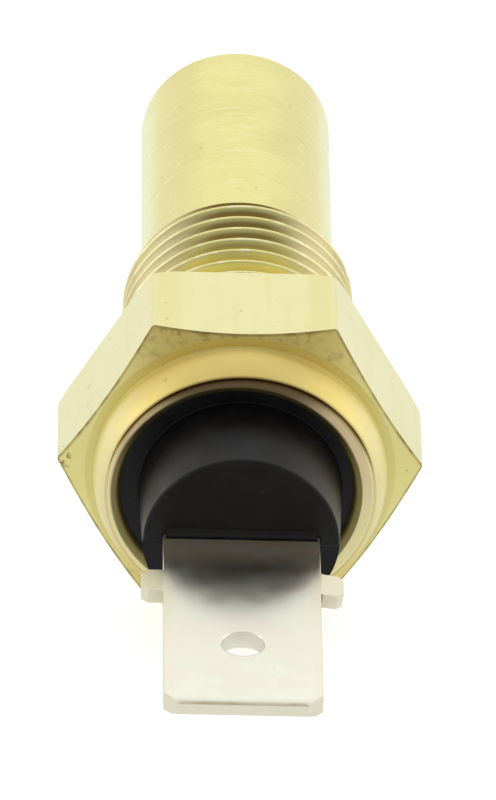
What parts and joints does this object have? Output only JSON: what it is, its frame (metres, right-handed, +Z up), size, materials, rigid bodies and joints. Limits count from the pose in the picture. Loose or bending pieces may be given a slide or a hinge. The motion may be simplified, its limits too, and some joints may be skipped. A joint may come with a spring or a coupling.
{
  "type": "coolant temperature sensor",
  "caption": "Engine coolant temperature sender: brass probe with tapered pipe thread and hexagon, crimped collar, black insulator and one flat blade terminal.",
  "frame": {"origin": "on the floor, under the middle of the sensor as it lies at rest", "axes": "+Z up, -Y towards the blade terminal's end, +Y towards the probe's tip, +X across the blade"},
  "size_m": [0.0148, 0.0446, 0.0134],
  "materials": {
    "brass": "turned, satin",
    "insulator": "moulded, semi-gloss",
    "tinned": "tinned, satin",
    "ring_rubber": "matt",
    "sleeve": "matt",
    "thermistor": "sintered ceramic",
    "seat_brass": "turned",
    "spring_steel": "drawn wire"
  },
  "bodies": {
    "root": {"brass_body": "brass", "insulator_head": "insulator", "blade_terminal": "tinned", "sealing_ring": "ring_rubber", "insulating_sleeve": "sleeve", "thermistor_disc": "thermistor", "lower_spring_seat": "seat_brass", "upper_spring_seat": "seat_brass", "contact_spring": "spring_steel"}
  },
  "joints": []
}
